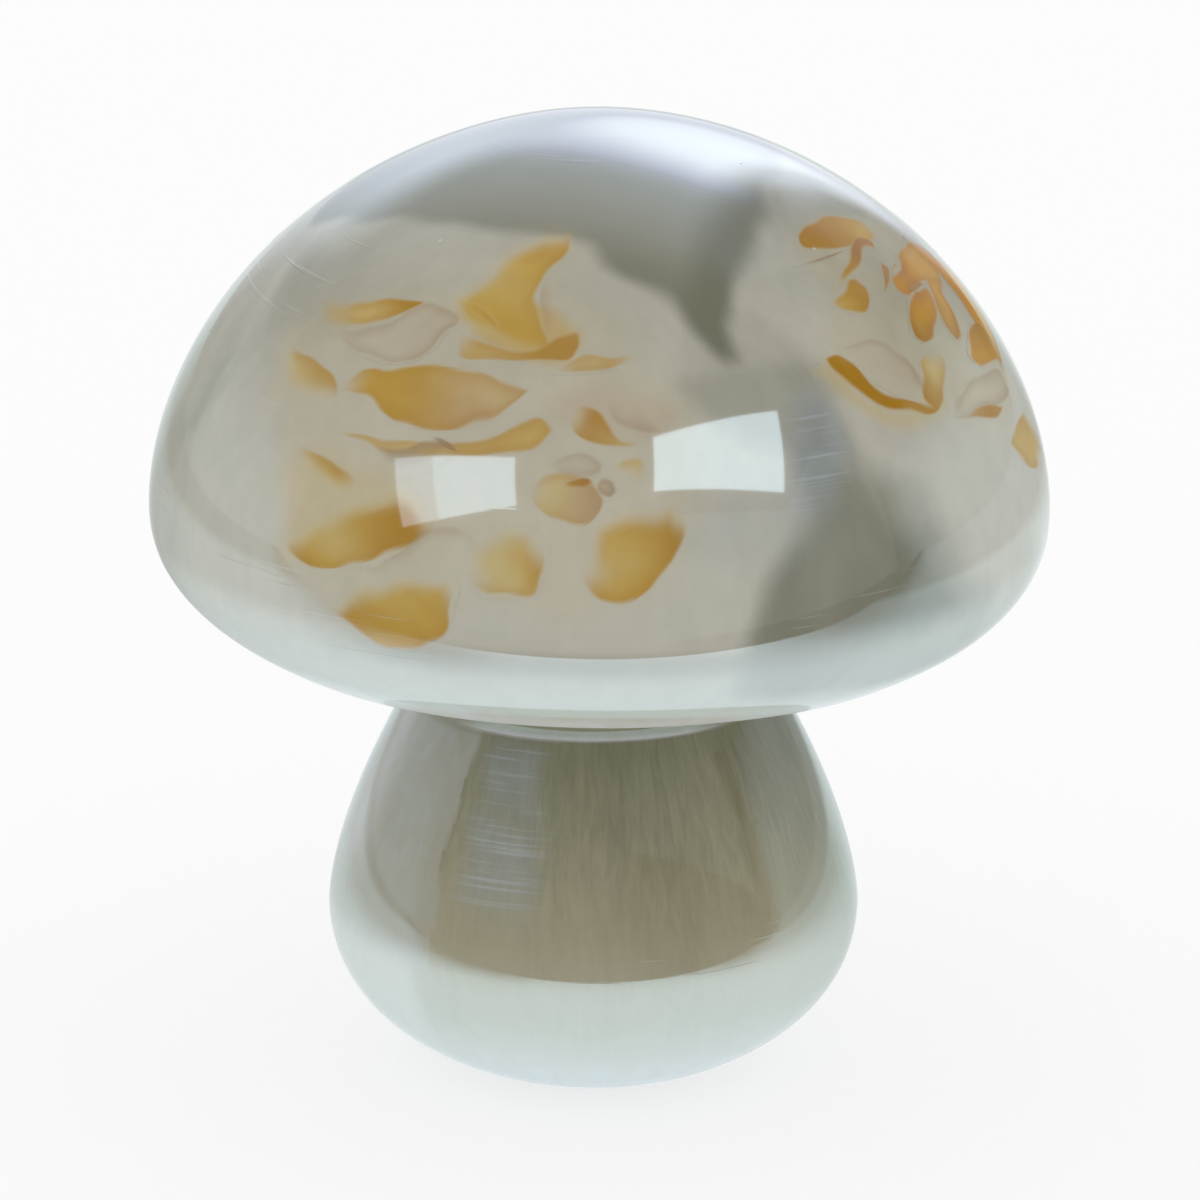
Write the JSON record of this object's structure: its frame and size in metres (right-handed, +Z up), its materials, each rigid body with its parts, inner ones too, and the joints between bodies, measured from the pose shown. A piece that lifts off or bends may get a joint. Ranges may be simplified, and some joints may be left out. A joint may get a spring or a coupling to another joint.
{
  "type": "glass mushroom ornament",
  "caption": "Blown glass mushroom ornament: domed hollow cap with amber and rose glass chips let in, on a bulbous hollow stem with a flat foot.",
  "frame": {"origin": "on the resting plane, under the middle of the cap", "axes": "+Z up along the cap's axis, -Y is the front that the picture shows"},
  "size_m": [0.11, 0.11, 0.1194],
  "materials": {
    "opal_glass": "opaque, glossy with a pearly lustre",
    "smoke_glass": "opaque, glossy with a pearly lustre",
    "straw_glass": "glossy",
    "amber_glass": "opaque, glossy",
    "rose_glass": "opaque, glossy"
  },
  "bodies": {
    "root": {"cap_shell": "opal_glass", "stem_shell": "smoke_glass", "neck_bond": "straw_glass", "amber_chip_01": "amber_glass", "amber_chip_02": "amber_glass", "amber_chip_03": "amber_glass", "amber_chip_04": "amber_glass", "amber_chip_05": "amber_glass", "amber_chip_06": "amber_glass", "amber_chip_07": "amber_glass", "amber_chip_08": "amber_glass", "amber_chip_09": "amber_glass", "amber_chip_10": "amber_glass", "amber_chip_11": "amber_glass", "amber_chip_12": "amber_glass", "amber_chip_13": "amber_glass", "amber_chip_14": "amber_glass", "amber_chip_15": "amber_glass", "amber_chip_16": "amber_glass", "amber_chip_17": "amber_glass", "amber_chip_18": "amber_glass", "amber_chip_19": "amber_glass", "amber_chip_20": "amber_glass", "amber_chip_21": "amber_glass", "amber_chip_22": "amber_glass", "amber_chip_23": "amber_glass", "amber_chip_24": "amber_glass", "amber_chip_25": "amber_glass", "amber_chip_26": "amber_glass", "amber_chip_27": "amber_glass", "amber_chip_28": "amber_glass", "amber_chip_29": "amber_glass", "amber_chip_30": "amber_glass", "amber_chip_31": "amber_glass", "rose_chip_01": "rose_glass", "rose_chip_02": "rose_glass", "rose_chip_03": "rose_glass", "rose_chip_04": "rose_glass", "rose_chip_05": "rose_glass", "rose_chip_06": "rose_glass", "rose_chip_07": "rose_glass", "rose_chip_08": "rose_glass", "rose_chip_09": "rose_glass", "rose_chip_10": "rose_glass", "rose_chip_11": "rose_glass"}
  },
  "joints": []
}
